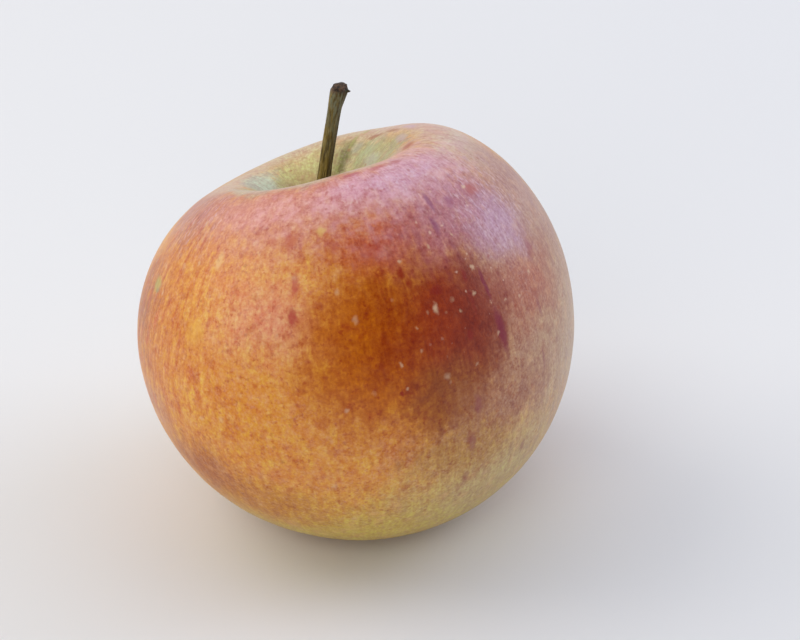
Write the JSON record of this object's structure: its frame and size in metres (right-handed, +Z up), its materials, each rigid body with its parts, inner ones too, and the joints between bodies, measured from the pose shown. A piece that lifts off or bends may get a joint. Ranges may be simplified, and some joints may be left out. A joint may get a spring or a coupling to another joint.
{
  "type": "apple",
  "caption": "Whole ripe dessert apple with its stem and dried eye, standing upright on its own foot.",
  "frame": {"origin": "under the middle of the apple's bounding box, on the surface that the apple stands on", "axes": "+Z up, along the apple's height; +X to the right and +Y to the back as the picture sees it, so the higher shoulder is at +X and -Y"},
  "size_m": [0.078, 0.0824, 0.0781],
  "materials": {
    "apple_skin": "waxy satin fruit skin, golden with an orange to crimson blush, fine flecks and pale pores",
    "stem_bark": "dry ridged bark, olive brown",
    "dried_sepal": "dry felted leaf, grey brown",
    "dried_stamen": "dry dark brown thread"
  },
  "bodies": {
    "root": {"fruit": "apple_skin", "stem": "stem_bark", "sepals": "dried_sepal", "stamens": "dried_stamen"}
  },
  "joints": []
}
